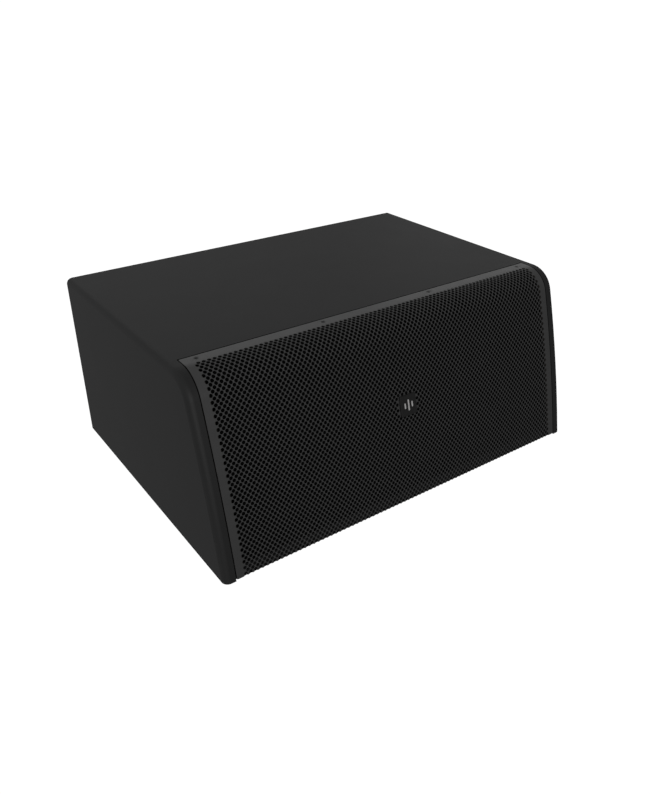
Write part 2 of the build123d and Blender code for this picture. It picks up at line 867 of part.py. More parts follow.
with BuildPart() as crossover_mounts:
    for radius, low, high in (
        (4.0, 0, crossover_lift),
        (1.6, crossover_lift, crossover_lift + crossover_board),
        (3.0, crossover_lift + crossover_board, crossover_lift + crossover_board + 2),
    ):
        with BuildSketch(floor_plane.offset(low)):
            with Locations(crossover_corners):
                Circle(radius)
        extrude(amount=high - low)
save(crossover_mounts, "crossover_mounts")

part_plane = board_plane.offset(crossover_board)
with BuildPart() as crossover_inductors:
    for dx, dy, outer, height in ((-58, 18, 29, 24), (8, 22, 24, 20)):
        with BuildSketch(part_plane):
            with Locations((crossover_centre[0] + dx, crossover_centre[1] + dy)):
                Circle(outer)
                Circle(outer * 0.42, mode=Mode.SUBTRACT)
        extrude(amount=height)
save(crossover_inductors, "crossover_inductors")

with BuildPart() as crossover_capacitors:
    for dx, dy, radius, length in ((62, 30, 13, 44), (62, 0, 11, 40), (-40, -34, 12, 46)):
        centre = (crossover_centre[0] + dx - length / 2, crossover_centre[1] + dy)
        with BuildSketch(Plane((*centre, part_plane.origin.Z + radius), z_dir=(1, 0, 0))):
            Circle(radius)
        extrude(amount=length)
save(crossover_capacitors, "crossover_capacitors")

with BuildPart() as crossover_resistors:
    with BuildSketch(part_plane):
        for dx, dy in ((12, -38), (12, -22)):
            with Locations((crossover_centre[0] + dx, crossover_centre[1] + dy)):
                Rectangle(48, 9)
    extrude(amount=9)
save(crossover_resistors, "crossover_resistors")

# ---------------------------------------------------------------- rear fittings
for label, place, flange, dish, depth in (
    ("handle_dish", handle_place, handle_flange, handle_dish, handle_depth),
    ("input_dish", input_place, input_flange, input_dish, input_depth),
):
    face = rear_face.offset(-rebate)
    with BuildPart() as pressed_dish:
        with BuildSketch(face):
            with Locations(place):
                RectangleRounded(*dish, 8)
        extrude(amount=-depth)
        fillet(pressed_dish.faces().sort_by(Axis.Y)[0].edges(), 6)
        offset(amount=-dish_wall, openings=pressed_dish.faces().sort_by(Axis.Y)[-1])
        with BuildSketch(face):
            with Locations(place):
                RectangleRounded(*flange, 8)
                RectangleRounded(dish[0] - 2 * dish_wall, dish[1] - 2 * dish_wall, 6.5, mode=Mode.SUBTRACT)
        extrude(amount=dish_wall)
        with BuildSketch(face):
            with Locations(place):
                with GridLocations(flange[0] - 2 * fitting_inset, flange[1] - 2 * fitting_inset, 2, 2):
                    Circle(screw_radius + 0.2)
        extrude(amount=dish_wall, mode=Mode.SUBTRACT)
        if label == "input_dish":
            with BuildSketch(face.offset(-depth)):
                with Locations(place):
                    with GridLocations(2 * socket_spread, 0, 2, 1):
                        Circle(socket_radius + 0.3)
                        with Locations((-9.5, 12), (9.5, -12)):
                            Circle(1.7)
            extrude(amount=3 * dish_wall, mode=Mode.SUBTRACT)
        else:
            for sign in sides.values():
                with BuildSketch(Plane.YZ.offset(-place[0])):
                    with Locations((rear_y - handle_bar_depth, place[1] + handle_bar_rise)):
                        Circle(handle_bar_radius + 0.1)
                extrude(amount=sign * dish[0], mode=Mode.SUBTRACT)
    save(pressed_dish, label)

bar_centre = Vector(-handle_place[0], rear_y - handle_bar_depth, handle_place[1] + handle_bar_rise)
with BuildPart() as handle_bar:
    bar_length = handle_dish[0] + 1.6
    with BuildSketch(Plane(bar_centre - Vector(bar_length / 2, 0, 0), z_dir=(1, 0, 0))):
        Circle(handle_bar_radius)
    extrude(amount=bar_length)
save(handle_bar, "handle_bar")

with BuildPart() as handle_grip:
    with BuildSketch(Plane(bar_centre - Vector(handle_grip_length / 2, 0, 0), z_dir=(1, 0, 0))):
        Circle(handle_grip_radius)
        Circle(handle_bar_radius + 0.05, mode=Mode.SUBTRACT)
    extrude(amount=handle_grip_length)
    fillet(handle_grip.edges().filter_by(GeomType.CIRCLE).sort_by(SortBy.RADIUS)[-2:], 2.5)
save(handle_grip, "handle_grip")

socket_floor = rear_face.offset(-rebate - input_depth + dish_wall)
spots = [(input_place[0] + sign * socket_spread, input_place[1]) for sign in sides.values()]
ears = [(-9.5, 12.0), (9.5, -12.0)]
with BuildPart() as speaker_sockets:
    for spot in spots:
        for low, high, outer in ((0, 3.6, socket_radius + 0.6), (-24, 0, socket_radius)):
            with BuildSketch(socket_floor.offset(low)):
                with Locations(spot):
                    Circle(outer)
            extrude(amount=high - low)
        with BuildSketch(socket_floor):
            with Locations(spot):
                RectangleRounded(26, 31, 3)
                with Locations(ears):
                    Circle(1.6, mode=Mode.SUBTRACT)
        extrude(amount=2.4)
        with BuildSketch(socket_floor.offset(-21.4)):
            with Locations(spot):
                Circle(10.6)
                Circle(5, mode=Mode.SUBTRACT)
        extrude(amount=25, mode=Mode.SUBTRACT)
        with BuildSketch(socket_floor.offset(0.6)):
            with Locations(spot):
                Circle(5.1)
        extrude(amount=3, mode=Mode.SUBTRACT)
        with BuildSketch(socket_floor.offset(-24)):
            with Locations(spot):
                with GridLocations(10, 10, 2, 2):
                    Rectangle(6.3, 0.8)
        extrude(amount=-9)
save(speaker_sockets, "speaker_sockets")

with BuildPart() as socket_screws:
    for spot in spots:
        for radius, low, high in ((1.5, -6, 2.4), (2.5, 2.4, 4.0)):
            with BuildSketch(socket_floor.offset(low)):
                with Locations(spot):
                    with Locations(ears):
                        Circle(radius)
            extrude(amount=high - low)
save(socket_screws, "socket_screws")

# ---------------------------------------------------------------- feet
with BuildPart() as feet:
    for x, y in foot_places:
        with BuildSketch(Plane((x, y, 0), x_dir=(1, 0, 0), z_dir=(0, -1, 0))):
            with BuildLine():
                Polyline((foot_recess, 0), (foot_radius - 3, 0))
                ThreePointArc((foot_radius - 3, 0), (foot_radius - 1.2, 0.8), (foot_radius - 0.6, 2.4))
                Polyline(
                    (foot_radius - 0.6, 2.4),
                    (foot_radius, foot_height),
                    (foot_bore, foot_height),
                    (foot_bore, 3),
                    (foot_recess, 3),
                    (foot_recess, 0),
                )
            make_face()
        revolve(axis=Axis((x, y, 0), (0, 0, 1)))
save(feet, "feet")

screw_heads = [Plane((x, y, 3), z_dir=(0, 0, -1)) for x, y in foot_places]
flange_face_y = rear_y - rebate + dish_wall
for place, flange in ((handle_place, handle_flange), (input_place, input_flange)):
    for across, up in ((-1, -1), (-1, 1), (1, -1), (1, 1)):
        x = -place[0] + across * (flange[0] / 2 - fitting_inset)
        z = place[1] + up * (flange[1] / 2 - fitting_inset)
        screw_heads.append(Plane((x, flange_face_y, z), x_dir=(-1, 0, 0), z_dir=(0, 1, 0)))
with BuildPart() as panel_screws:
    for head in screw_heads:
        with BuildSketch(head):
            Circle(screw_radius)
        extrude(amount=-screw_length)
        with BuildSketch(head):
            Circle(screw_head_radius)
        extrude(amount=1.6)
        with BuildSketch(head.offset(1.6)):
            Rectangle(4, 0.9)
            Rectangle(0.9, 4)
        extrude(amount=-0.9, mode=Mode.SUBTRACT)
save(panel_screws, "panel_screws")

# ---------------------------------------------------------------- damping
with BuildPart() as damping_lining:
    lining = 20.0
    lining_y = brace_y + board + 6
    lining_end = rear_y - board - batten - 6
    for sign in sides.values():
        with BuildSketch(Plane.XY.offset(floor_z + 24)):
            with Locations((sign * (inside_width / 2 - lining / 2 - 0.5), (lining_y + lining_end) / 2)):
                Rectangle(lining, lining_end - lining_y)
        extrude(amount=ceiling_z - floor_z - 48)
    with BuildSketch(Plane.XY.offset(ceiling_z - lining - 0.5)):
        with Locations((0, (lining_y + lining_end - 30) / 2)):
            Rectangle(inside_width - 2 * lining - 12, lining_end - 30 - lining_y)
    extrude(amount=lining)
save(damping_lining, "damping_lining")

# ---------------------------------------------------------------- wiring
lead_radius = 2.5
woofer_route = [(190, -10, 215), (200, -70, 245), (200, -88, 238)]
wall_middle = (terminal_top + terminal_low) / 2
terminal_rise = beside_basket(wall_middle) + terminal_thickness + 1.1
terminal = baffle_middle + upward * terminal_rise + outward * wall_middle
cover_spot = horn_seat.origin + upward * 20 + outward * (clamp_low - cover_depth)
tab_end = socket_floor.origin.Y - 33
pcb_top = part_plane.origin.Z
leads = [
    [(-124, 104, pcb_top), (-124, 104, 62), (-150, 90, 110), (-185, 50, 170)]
    + [(-x, y, z) for x, y, z in woofer_route]
    + [(-woofer_spread, terminal.Y, terminal.Z)],
    [(49, 98, pcb_top), (49, 98, 62), (90, 90, 110), (150, 50, 170)]
    + woofer_route
    + [(woofer_spread, terminal.Y, terminal.Z)],
    [(10, 84, pcb_top), (10, 84, 70), (4, 60, 130), tuple(cover_spot - outward * 16), tuple(cover_spot)],
    [
        (-131, 162, pcb_top),
        (-131, 162, 60),
        (-160, 164, 86),
        (-180, 174, input_place[1] + 5),
        (-180, tab_end, input_place[1] + 5),
    ],
]
with BuildPart() as wiring:
    for points in leads:
        with BuildLine() as route:
            FilletPolyline(*points, radius=9)
        with BuildSketch(Plane(route.line @ 0, z_dir=route.line % 0)):
            Circle(lead_radius)
        sweep(path=route.line)
save(wiring, "wiring")
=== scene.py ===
"""Low stage monitor: the looks of the cabinet, its perforated grille and what is inside.

Sizes are in metres in the frame's own axes: +Z up, the front faces -Y and +X is the right-hand side
seen from the front.
"""

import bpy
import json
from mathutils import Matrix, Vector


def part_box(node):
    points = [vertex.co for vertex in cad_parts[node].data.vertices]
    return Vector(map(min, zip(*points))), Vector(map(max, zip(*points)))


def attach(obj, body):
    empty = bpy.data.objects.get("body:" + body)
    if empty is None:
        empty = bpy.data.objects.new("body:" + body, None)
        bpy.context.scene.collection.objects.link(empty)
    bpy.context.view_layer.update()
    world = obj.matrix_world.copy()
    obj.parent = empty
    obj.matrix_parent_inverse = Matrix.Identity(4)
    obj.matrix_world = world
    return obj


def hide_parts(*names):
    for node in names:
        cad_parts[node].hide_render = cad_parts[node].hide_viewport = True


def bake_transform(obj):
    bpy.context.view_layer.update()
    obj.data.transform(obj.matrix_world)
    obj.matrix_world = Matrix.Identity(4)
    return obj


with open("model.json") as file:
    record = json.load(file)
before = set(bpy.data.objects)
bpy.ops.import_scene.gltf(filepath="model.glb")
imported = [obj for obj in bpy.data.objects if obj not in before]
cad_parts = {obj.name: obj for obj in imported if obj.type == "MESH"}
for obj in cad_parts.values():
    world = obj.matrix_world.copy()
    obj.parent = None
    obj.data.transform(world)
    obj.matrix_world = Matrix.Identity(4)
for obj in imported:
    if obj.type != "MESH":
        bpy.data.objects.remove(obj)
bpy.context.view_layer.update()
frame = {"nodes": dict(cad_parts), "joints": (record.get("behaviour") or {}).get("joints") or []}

import json
from math import acos, cos, pi, radians, sin, sqrt

import bmesh
import bpy
import numpy as np
from mathutils import Matrix, Vector, noise
from mathutils.geometry import delaunay_2d_cdt

MM = 0.001
NODES = frame["nodes"]
CABINET = "cabinet"
SIDES = ("left", "right")

# the bent grille sheet
CROWN_RADIUS = 46.5 * MM
CROWN_TURN = radians(72.8)
FACE_RADIUS = 2444 * MM
TOE_RADIUS = 2 * MM
RIM_FLAT = 15 * MM
SHEET = 1.2 * MM
FLANGE = 30 * MM

# its holes
HOLE_PITCH = 8.0 * MM
HOLE_ROW = 4.69 * MM
HOLE_RADIUS = 2.75 * MM
HOLE_SIDES = 8
HOLE_COLUMNS = 80
FIRST_ROW = 21.45 * MM
LAST_ROW_CLEAR = 3 * MM
EDGE_CLEAR = 2 * MM
BADGE_CLEAR = 1.0 * MM

# its screws
SCREW_X = (-308.7 * MM, -102.9 * MM, 102.9 * MM, 308.7 * MM)
SCREW_HEAD = 3.55 * MM
SCREW_SHANK = 2.0 * MM
SCREW_BOX_MARGIN = 3.3 * MM

# the open seam between the grille's rim and the top panel: below a thin unshaded lip at its top edge,
# painted shade darkens it and takes its shine away
SEAM = 2 * MM
SEAM_DEPTH = 6 * MM
SEAM_UNSHADED_LIP = 0.2 * MM

# the drive units
PLATE_DEPTH = 71 * MM
BAFFLE_TILT = radians(25)


# ---------------------------------------------------------------- meshes
def mesh_piece(name, vertices, faces, smooth=None):
    """A new mesh object. With smooth, faces are smooth except at edges sharper than that angle."""
    mesh = bpy.data.meshes.new(name)
    mesh.from_pydata([tuple(v) for v in vertices], [], [tuple(f) for f in faces])
    mesh.validate()
    if smooth is not None:
        mesh.shade_smooth()
        mesh.set_sharp_from_angle(angle=smooth)
    piece = bpy.data.objects.new(name, mesh)
    bpy.context.scene.collection.objects.link(piece)
    return piece


def finish_piece(piece, slot, *nodes, body=CABINET):
    """Give a piece its material and slot, let it stand for CAD nodes, and make it ride on a body."""
    piece.data.materials.append(MATERIALS[slot])
    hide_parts(*nodes)
    if body:
        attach(piece, body)
    return piece


def centre(node):
    """Middle of a CAD node's box."""
    low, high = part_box(node)
    return (low + high) / 2


def lathe_faces(count, steps):
    """Quads between steps copies of a ring of count profile points."""
    faces = []
    for step in range(steps):
        here, there = step * count, (step + 1) % steps * count
        for k in range(count):
            after = (k + 1) % count
            faces.append((here + k, here + after, there + after, there + k))
    return faces


def lathe(name, profile, origin, axis, steps=96, smooth=radians(40)):
    """A closed profile of (radius, height) points turned round an axis through origin."""
    to_axis = Vector((0, 0, 1)).rotation_difference(Vector(axis)).to_matrix()
    vertices = []
    for step in range(steps):
        turn = 2 * pi * step / steps
        for radius, height in profile:
            point = Vector((radius * cos(turn), radius * sin(turn), height))
            vertices.append(to_axis @ point + Vector(origin))
    return mesh_piece(name, vertices, lathe_faces(len(profile), steps), smooth)


def arc(centre_x, centre_y, radius, start, end, steps):
    """Points of an arc, angles in radians."""
    turns = np.linspace(start, end, steps + 1)
    return [(centre_x + radius * cos(t), centre_y + radius * sin(t)) for t in turns]


# ---------------------------------------------------------------- the bent grille sheet
class BentSheet:
    """The grille's side view: a flat rim on top, a tight crown, a gentle face, a toe bend and a flange."""

    def __init__(self):
        low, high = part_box("grille")
        self.rear, self.top, self.low = high.y, high.z, low.z
        self.half_width = high.x
        self.crown = (self.rear - RIM_FLAT, self.top - CROWN_RADIUS)
        span = CROWN_RADIUS - FACE_RADIUS
        self.face = (self.crown[0] - span * sin(CROWN_TURN), self.crown[1] + span * cos(CROWN_TURN))
        toe_turn = acos((self.low + TOE_RADIUS - self.face[1]) / (FACE_RADIUS - TOE_RADIUS))
        reach = FACE_RADIUS - TOE_RADIUS
        self.toe = (self.face[0] - reach * sin(toe_turn), self.low + TOE_RADIUS)
        self.crown_end = RIM_FLAT + CROWN_RADIUS * CROWN_TURN
        self.face_end = self.crown_end + FACE_RADIUS * (toe_turn - CROWN_TURN)
        self.toe_end = self.face_end + TOE_RADIUS * (pi - toe_turn)
        self.end = self.toe_end + FLANGE
        self.toe_turn = toe_turn

    def points(self, x, run, depth):
        """Points at x to the side, run along the outer face from the rear edge, depth below that face."""
        x, run = np.asarray(x, float), np.asarray(run, float)
        y = self.rear - run
        z = np.full_like(run, self.top) - depth
        bends = (
            (RIM_FLAT, self.crown, CROWN_RADIUS, 0.0),
            (self.crown_end, self.face, FACE_RADIUS, CROWN_TURN),
            (self.face_end, self.toe, TOE_RADIUS, self.toe_turn),
        )
        for start, middle, radius, first in bends:
            turn = first + (run - start) / radius
            on = run > start
            y = np.where(on, middle[0] - (radius - depth) * np.sin(turn), y)
            z = np.where(on, middle[1] + (radius - depth) * np.cos(turn), z)
        on = run > self.toe_end
        y = np.where(on, self.toe[0] + run - self.toe_end, y)
        z = np.where(on, self.low + depth, z)
        return np.stack([x, y, z], axis=-1)

    def run_at(self, height):
        """Run of the face at a height below the crown."""
        turn = acos((height - self.face[1]) / FACE_RADIUS)
        return self.crown_end + FACE_RADIUS * (turn - CROWN_TURN)


def lattice(sheet):
    """Every place of the staggered lattice inside the sheet's outline, and which of them are holes."""
    rows_behind, rows = int(FIRST_ROW / HOLE_ROW), int((sheet.end - FIRST_ROW) / HOLE_ROW)
    columns_beside = 2
    low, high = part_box("badge_plate")
    badge_run = sheet.run_at((low.z + high.z) / 2)
    places, open_ones = [], []
    for row in range(-rows_behind, rows + 1):
        run = FIRST_ROW + row * HOLE_ROW
        if not EDGE_CLEAR <= run <= sheet.end - EDGE_CLEAR:
            continue
        columns = HOLE_COLUMNS - (row + 1) % 2
        for column in range(-columns_beside, columns + columns_beside):
            x = (column - (columns - 1) / 2) * HOLE_PITCH
            if abs(x) > sheet.half_width - EDGE_CLEAR:
                continue
            on_field = row >= 0 and 0 <= column < columns and run < sheet.toe_end - LAST_ROW_CLEAR
            under_badge = (
                abs(x) < high.x + BADGE_CLEAR
                and abs(run - badge_run) < (high.z - low.z) / 2 + BADGE_CLEAR
            )
            places.append((x, run))
            open_ones.append(on_field and not under_badge)
    return np.array(places), np.array(open_ones)


def circle_points(middle, radius, sides):
    """A polygon with the area of the circle that it stands for."""
    step = 2 * pi / sides
    turns = (np.arange(sides) + 0.5) * step
    reach = radius * sqrt(step / sin(step))
    return np.asarray(middle) + reach * np.stack([np.cos(turns), np.sin(turns)], axis=-1)


def screw_places(sheet):
    """(x, run) of the screws on the rim and under the flange."""
    low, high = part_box("grille_screws")
    rim_run = sheet.rear - (high.y - SCREW_BOX_MARGIN)
    flange_run = sheet.toe_end + low.y + SCREW_BOX_MARGIN - sheet.toe[0]
    return [(x, run) for run in (rim_run, flange_run) for x in SCREW_X]


def outline_points(sheet):
    """The sheet's outline, with points close enough for its bends."""
    runs = np.linspace(0, sheet.end, int(sheet.end / HOLE_ROW) + 1)
    across = np.linspace(-sheet.half_width, sheet.half_width, HOLE_COLUMNS + 3)
    right = [(sheet.half_width, run) for run in runs[:-1]]
    bottom = [(x, sheet.end) for x in across[:0:-1]]
    left = [(-sheet.half_width, run) for run in runs[:0:-1]]
    top = [(x, 0.0) for x in across[:-1]]
    return top + right + bottom + left


def perforated_grille():
    """The grille: one bent sheet with every hole cut through it, its screw holes countersunk."""
    screw_sides, near_edge = 24, 0.1 * MM
    sheet = BentSheet()
    places, open_ones = lattice(sheet)
    screws = screw_places(sheet)
    clear = np.min([np.hypot(*(places - s).T) for s in screws], axis=0) > SCREW_HEAD + EDGE_CLEAR
    holes, plain = places[open_ones], places[~open_ones & clear]
    loops = [outline_points(sheet)]
    loops += [circle_points(hole, HOLE_RADIUS, HOLE_SIDES) for hole in holes]
    loops += [circle_points(screw, SCREW_HEAD, screw_sides) for screw in screws]
    flat = np.concatenate([np.asarray(loop, float) for loop in loops] + [plain])
    edges, start = [], 0
    for loop in loops:
        count = len(loop)
        edges += [(start + k, start + (k + 1) % count) for k in range(count)]
        start += count
    to_mm = 1 / MM
    cut = delaunay_2d_cdt([Vector(p) * to_mm for p in flat.tolist()], edges, [], 0, 1e-7, True)
    triangles = np.array(cut[2])
    flat = np.array([tuple(p) for p in cut[0]]) / to_mm
    middles = flat[triangles].mean(axis=1)
    keep = ~inside_any(middles, holes, HOLE_RADIUS) & ~inside_any(middles, np.array(screws), SCREW_HEAD)
    triangles = triangles[keep]
    inner = flat.copy()
    for screw in screws:
        near = np.hypot(*(flat - screw).T) < SCREW_HEAD + near_edge
        inner[near] = screw + (flat[near] - screw) * SCREW_SHANK / SCREW_HEAD
    outside = sheet.points(flat[:, 0], flat[:, 1], 0.0)
    inside = sheet.points(inner[:, 0], inner[:, 1], SHEET)
    count = len(flat)
    once = open_edges(triangles)
    faces = [(a, c, b) for a, b, c in triangles.tolist()]
    faces += [(a + count, b + count, c + count) for a, b, c in triangles.tolist()]
    faces += [(a, b, b + count, a + count) for a, b in once]
    piece = mesh_piece("grille_sheet", np.concatenate([outside, inside]), faces, radians(50))
    return finish_piece(piece, "grille_steel", "grille")


def inside_any(points, middles, radius):
    """Which points lie well inside a circle of that radius round any of the middles."""
    found = np.zeros(len(points), bool)
    shade_mask = (0.9 * radius) ** 2
    order = np.argsort(middles[:, 1])
    middles = middles[order]
    first = np.searchsorted(middles[:, 1], points[:, 1] - radius)
    last = np.searchsorted(middles[:, 1], points[:, 1] + radius)
    for k in range(len(points)):
        near = middles[first[k]:last[k]] - points[k]
        found[k] = bool(len(near)) and np.min(near[:, 0] ** 2 + near[:, 1] ** 2) < shade_mask
    return found


def open_edges(triangles):
    """Edges that only one triangle uses, in that triangle's direction."""
    directed = {}
    for a, b, c in triangles.tolist():
        for edge in ((a, b), (b, c), (c, a)):
            directed[edge] = True
    return [(a, b) for a, b in directed if (b, a) not in directed]


def foam_behind_grille():
    """The foam sheet behind the holes, its skin slightly uneven."""
    sheet = BentSheet()
    low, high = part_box("grille_foam")
    gap, thickness, rear_gap, dent_depth = 1.4 * MM, 4.8 * MM, 1.5 * MM, 0.25 * MM
    columns, rows = 160, 90
    x = np.linspace(low.x, high.x, columns)
    run = np.linspace(RIM_FLAT + rear_gap, sheet.run_at(low.z), rows)
    grid_x, grid_run = np.meshgrid(x, run)
    dent = np.array(
        [noise.noise(Vector((a, b, 0)) * 90) for a, b in zip(grid_x.ravel(), grid_run.ravel())]
    ).reshape(grid_x.shape)
    skins = [
        sheet.points(grid_x, grid_run, gap + dent_depth * (1 + dent)),
        sheet.points(grid_x, grid_run, gap + thickness - dent_depth * (1 + dent)),
    ]
    vertices = np.concatenate([skin.reshape(-1, 3) for skin in skins])
    count = columns * rows
    faces = []
    for r in range(rows - 1):
        for c in range(columns - 1):
            a = r * columns + c
            quad = (a, a + 1, a + columns + 1, a + columns)
            faces += [quad, tuple(k + count for k in reversed(quad))]
    rim = list(range(columns))
    rim += [r * columns + columns - 1 for r in range(1, rows)]
    rim += [(rows - 1) * columns + c for c in range(columns - 2, -1, -1)]
    rim += [r * columns for r in range(rows - 2, 0, -1)]
    faces += [(b, a, a + count, b + count) for a, b in zip(rim, rim[1:] + rim[:1])]
    piece = mesh_piece("grille_foam_sheet", vertices, faces, radians(60))
    finish_piece(piece, "grille_foam", "grille_foam")


# ---------------------------------------------------------------- drive units
def cone_axis():
    """Direction in which the cones move outwards."""
    stroke = next(joint for joint in frame["joints"] if joint["name"] == "woofer_left_stroke")
    return Vector(stroke["axis"]).normalized()


def woofer_origin(side):
    """Middle of the woofer's seat on the baffle."""
    return centre(f"top_plate_{side}") + cone_axis() * PLATE_DEPTH


def between_bodies(piece):
    """Bake a ring's placement into its mesh; the ring rides on no body, neither the cabinet nor the cone.
    """
    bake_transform(piece)


def surround(side):
    """Half-round cloth roll between the basket's flange and the cone."""
    inner, outer, top, skin = 95 * MM, 109 * MM, 5.3 * MM, 0.8 * MM
    cone_lap, flange_lap = 88 * MM, 118 * MM
    middle, radius = (inner + outer) / 2, (outer - inner) / 2
    profile = [(flange_lap, top - skin), (flange_lap, top)]
    profile += arc(middle, top, radius, 0, pi, 24)
    profile += [(cone_lap, top), (cone_lap, top - skin)]
    profile += arc(middle, top - skin, radius - skin, pi, 0, 24)
    origin = woofer_origin(side)
    piece = lathe(f"surround_roll_{side}", profile, origin, cone_axis(), steps=128)
    finish_piece(piece, "surround_cloth", f"surround_{side}", body=None)
    between_bodies(piece)


def spider(side):
    """Corrugated cloth disc that centres the voice coil."""
    level, skin = -50.6 * MM, 0.6 * MM
    start, end, waves, crest = 37 * MM, 65 * MM, 7, 1.6 * MM
    collar, collar_height, rim = 32.75 * MM, 3 * MM, 74 * MM
    radii = np.linspace(start, end, waves * 8 + 1)
    lower = [(r, level + crest * sin((r - start) / (end - start) * waves * pi)) for r in radii]
    profile = [(collar, level + collar_height), (collar, level)]
    profile += lower + [(rim, level), (rim, level + skin)]
    profile += [(r, h + skin) for r, h in reversed(lower)]
    profile += [(collar + skin, level + skin), (collar + skin, level + collar_height)]
    origin = woofer_origin(side)
    piece = lathe(f"spider_disc_{side}", profile, origin, cone_axis(), steps=96)
    finish_piece(piece, "spider_cloth", f"spider_{side}", body=None)
    between_bodies(piece)


def wound_edge(radius, low, high, wires):
    """Profile of a layer of round wire: one half round for each turn."""
    wire = (high - low) / wires
    points = []
    for k in range(wires):
        middle = low + (k + 0.5) * wire
        points += [
            (radius + (wire / 2) * cos(t), middle + (wire / 2) * sin(t))
            for t in np.linspace(-pi / 2, pi / 2, 5)[:-1]
        ]
    return points


def voice_coil(side):
    """The former with its winding, one layer of round wire."""
    inner, wall, wire_skin = 32.0 * MM, 32.6 * MM, 0.45 * MM
    bottom, top, low, high = -82 * MM, -34 * MM, -80 * MM, -62 * MM
    profile = [(inner, bottom), (wall, bottom), (wall, low)]
    profile += wound_edge(wall + wire_skin, low, high, wires=20)
    profile += [(wall + wire_skin, high), (wall, high), (wall, top), (inner, top)]
    piece = lathe(f"coil_winding_{side}", profile, woofer_origin(side), cone_axis(), steps=72)
    finish_piece(piece, "coil_wire", f"voice_coil_{side}", body=f"cone_assembly_{side}")


# ---------------------------------------------------------------- inside the cabinet
def loose_boxes(node):
    """Lowest and highest corner of each separate solid of a CAD node."""
    work = bmesh.new()
    work.from_mesh(NODES[node].data)
    bmesh.ops.remove_doubles(work, verts=work.verts, dist=1e-6)
    boxes, seen = [], set()
    for first in work.verts:
        if first in seen:
            continue
        group, queue = [], [first]
        seen.add(first)
        while queue:
            vertex = queue.pop()
            group.append(vertex.co.copy())
            for edge in vertex.link_edges:
                other = edge.other_vert(vertex)
                if other not in seen:
                    seen.add(other)
                    queue.append(other)
        boxes.append((Vector(map(min, *group)), Vector(map(max, *group))))
    work.free()
    return sorted(boxes, key=lambda box: (box[0].x, box[0].z))


def wadding(name, low, high):
    """A pad of polyester wadding: rounded at its edges and tufted all over."""
    spacing, round_off, sunk, tuft_height = 9 * MM, 7 * MM, 0.25, 1.6 * MM
    highest = 1.5 * MM
    size, middle = high - low, (low + high) / 2
    work = bmesh.new()
    bmesh.ops.create_cube(work, size=1.0)
    cuts = max(1, int(max(size) / spacing))
    for axis in range(3):
        edges = [e for e in work.edges if abs((e.verts[0].co - e.verts[1].co)[axis]) > 0.5]
        steps = max(2, int(size[axis] / max(size) * cuts))
        bmesh.ops.subdivide_edges(work, edges=edges, cuts=steps, use_grid_fill=True)
    inner = [extent / 2 - round_off for extent in size]
    for vertex in work.verts:
        point = Vector([vertex.co[k] * size[k] for k in range(3)])
        core = Vector([max(-inner[k], min(inner[k], point[k])) for k in range(3)])
        away = point - core
        if away.length > 1e-9:
            away = away.normalized() * round_off
        at = core + away + middle
        tuft = noise.fractal(at * 70, 0.8, 2.2, 4) * tuft_height
        vertex.co = core + middle + away * (1 - sunk) + away.normalized() * min(tuft, highest)
    mesh = bpy.data.meshes.new(name)
    work.to_mesh(mesh)
    work.free()
    mesh.shade_smooth()
    piece = bpy.data.objects.new(name, mesh)
    bpy.context.scene.collection.objects.link(piece)
    finish_piece(piece, "lining_felt", "damping_lining")


def damping_lining():
    """The three pads on the cabinet's walls."""
    for name, box in zip(("left", "top", "right"), loose_boxes("damping_lining")):
        wadding(f"lining_pad_{name}", *box)


def inductors():
    """Air-cored coils: turns of enamelled wire round an open middle."""
    wires, hollow = 12, 0.42
    for number, (low, high) in enumerate(loose_boxes("crossover_inductors"), 1):
        middle = (low + high) / 2
        outer = (high.x - low.x) / 2
        half_wire = (high.z - low.z) / wires / 2
        profile = wound_edge(outer - half_wire, low.z, high.z, wires)
        profile += [(outer - half_wire, high.z), (outer * hollow, high.z), (outer * hollow, low.z)]
        piece = lathe(f"inductor_{number}", profile, (middle.x, middle.y, 0), (0, 0, 1), steps=72)
        finish_piece(piece, "copper_wire", "crossover_inductors")


def handle_grip():
    """Moulded rubber sleeve with finger ribs between two plain ends."""
    low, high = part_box("handle_grip")
    half, outer, bore = (high.x - low.x) / 2, (high.z - low.z) / 2, 6.05 * MM
    plain, rib, groove, round_end = 12 * MM, 8 * MM, 0.9 * MM, 2.5 * MM
    runs = np.linspace(-half + plain, half - plain, 111)
    profile = [(bore, -half)]
    profile += arc(outer - round_end, -half + round_end, round_end, -pi / 2, 0, 5)
    profile += [(outer - groove * abs(sin((h + half) / rib * pi)) ** 3, h) for h in runs]
    profile += arc(outer - round_end, half - round_end, round_end, 0, pi / 2, 5)
    profile += [(bore, half)]
    piece = lathe("grip_sleeve", profile, centre("handle_grip"), (1, 0, 0), steps=64)
    finish_piece(piece, "grip_rubber", "handle_grip")


# ---------------------------------------------------------------- material helpers
def new_material(name, colour, roughness, metallic=0.0, specular=0.5):
    """A material with one plain colour and shine, for the texture helpers to work on."""
    made = bpy.data.materials.new(name + "_look")
    made.use_nodes = True
    shader = made.node_tree.nodes["Principled BSDF"]
    shader.inputs["Base Color"].default_value = (*colour, 1)
    shader.inputs["Roughness"].default_value = roughness
    shader.inputs["Metallic"].default_value = metallic
    shader.inputs["Specular IOR Level"].default_value = specular
    return made


def add(owner, kind, inputs=None, **settings):
    """A shader node of a material or world. Its inputs are given as values or as other nodes' outputs."""
    node = owner.node_tree.nodes.new("ShaderNode" + kind)
    for key, value in settings.items():
        setattr(node, key, value)
    for key, value in (inputs or {}).items():
        if isinstance(value, bpy.types.NodeSocket):
            owner.node_tree.links.new(value, node.inputs[key])
        else:
            node.inputs[key].default_value = value
    return node


def shader_of(material):
    """A material's own shader node."""
    return material.node_tree.nodes["Principled BSDF"]


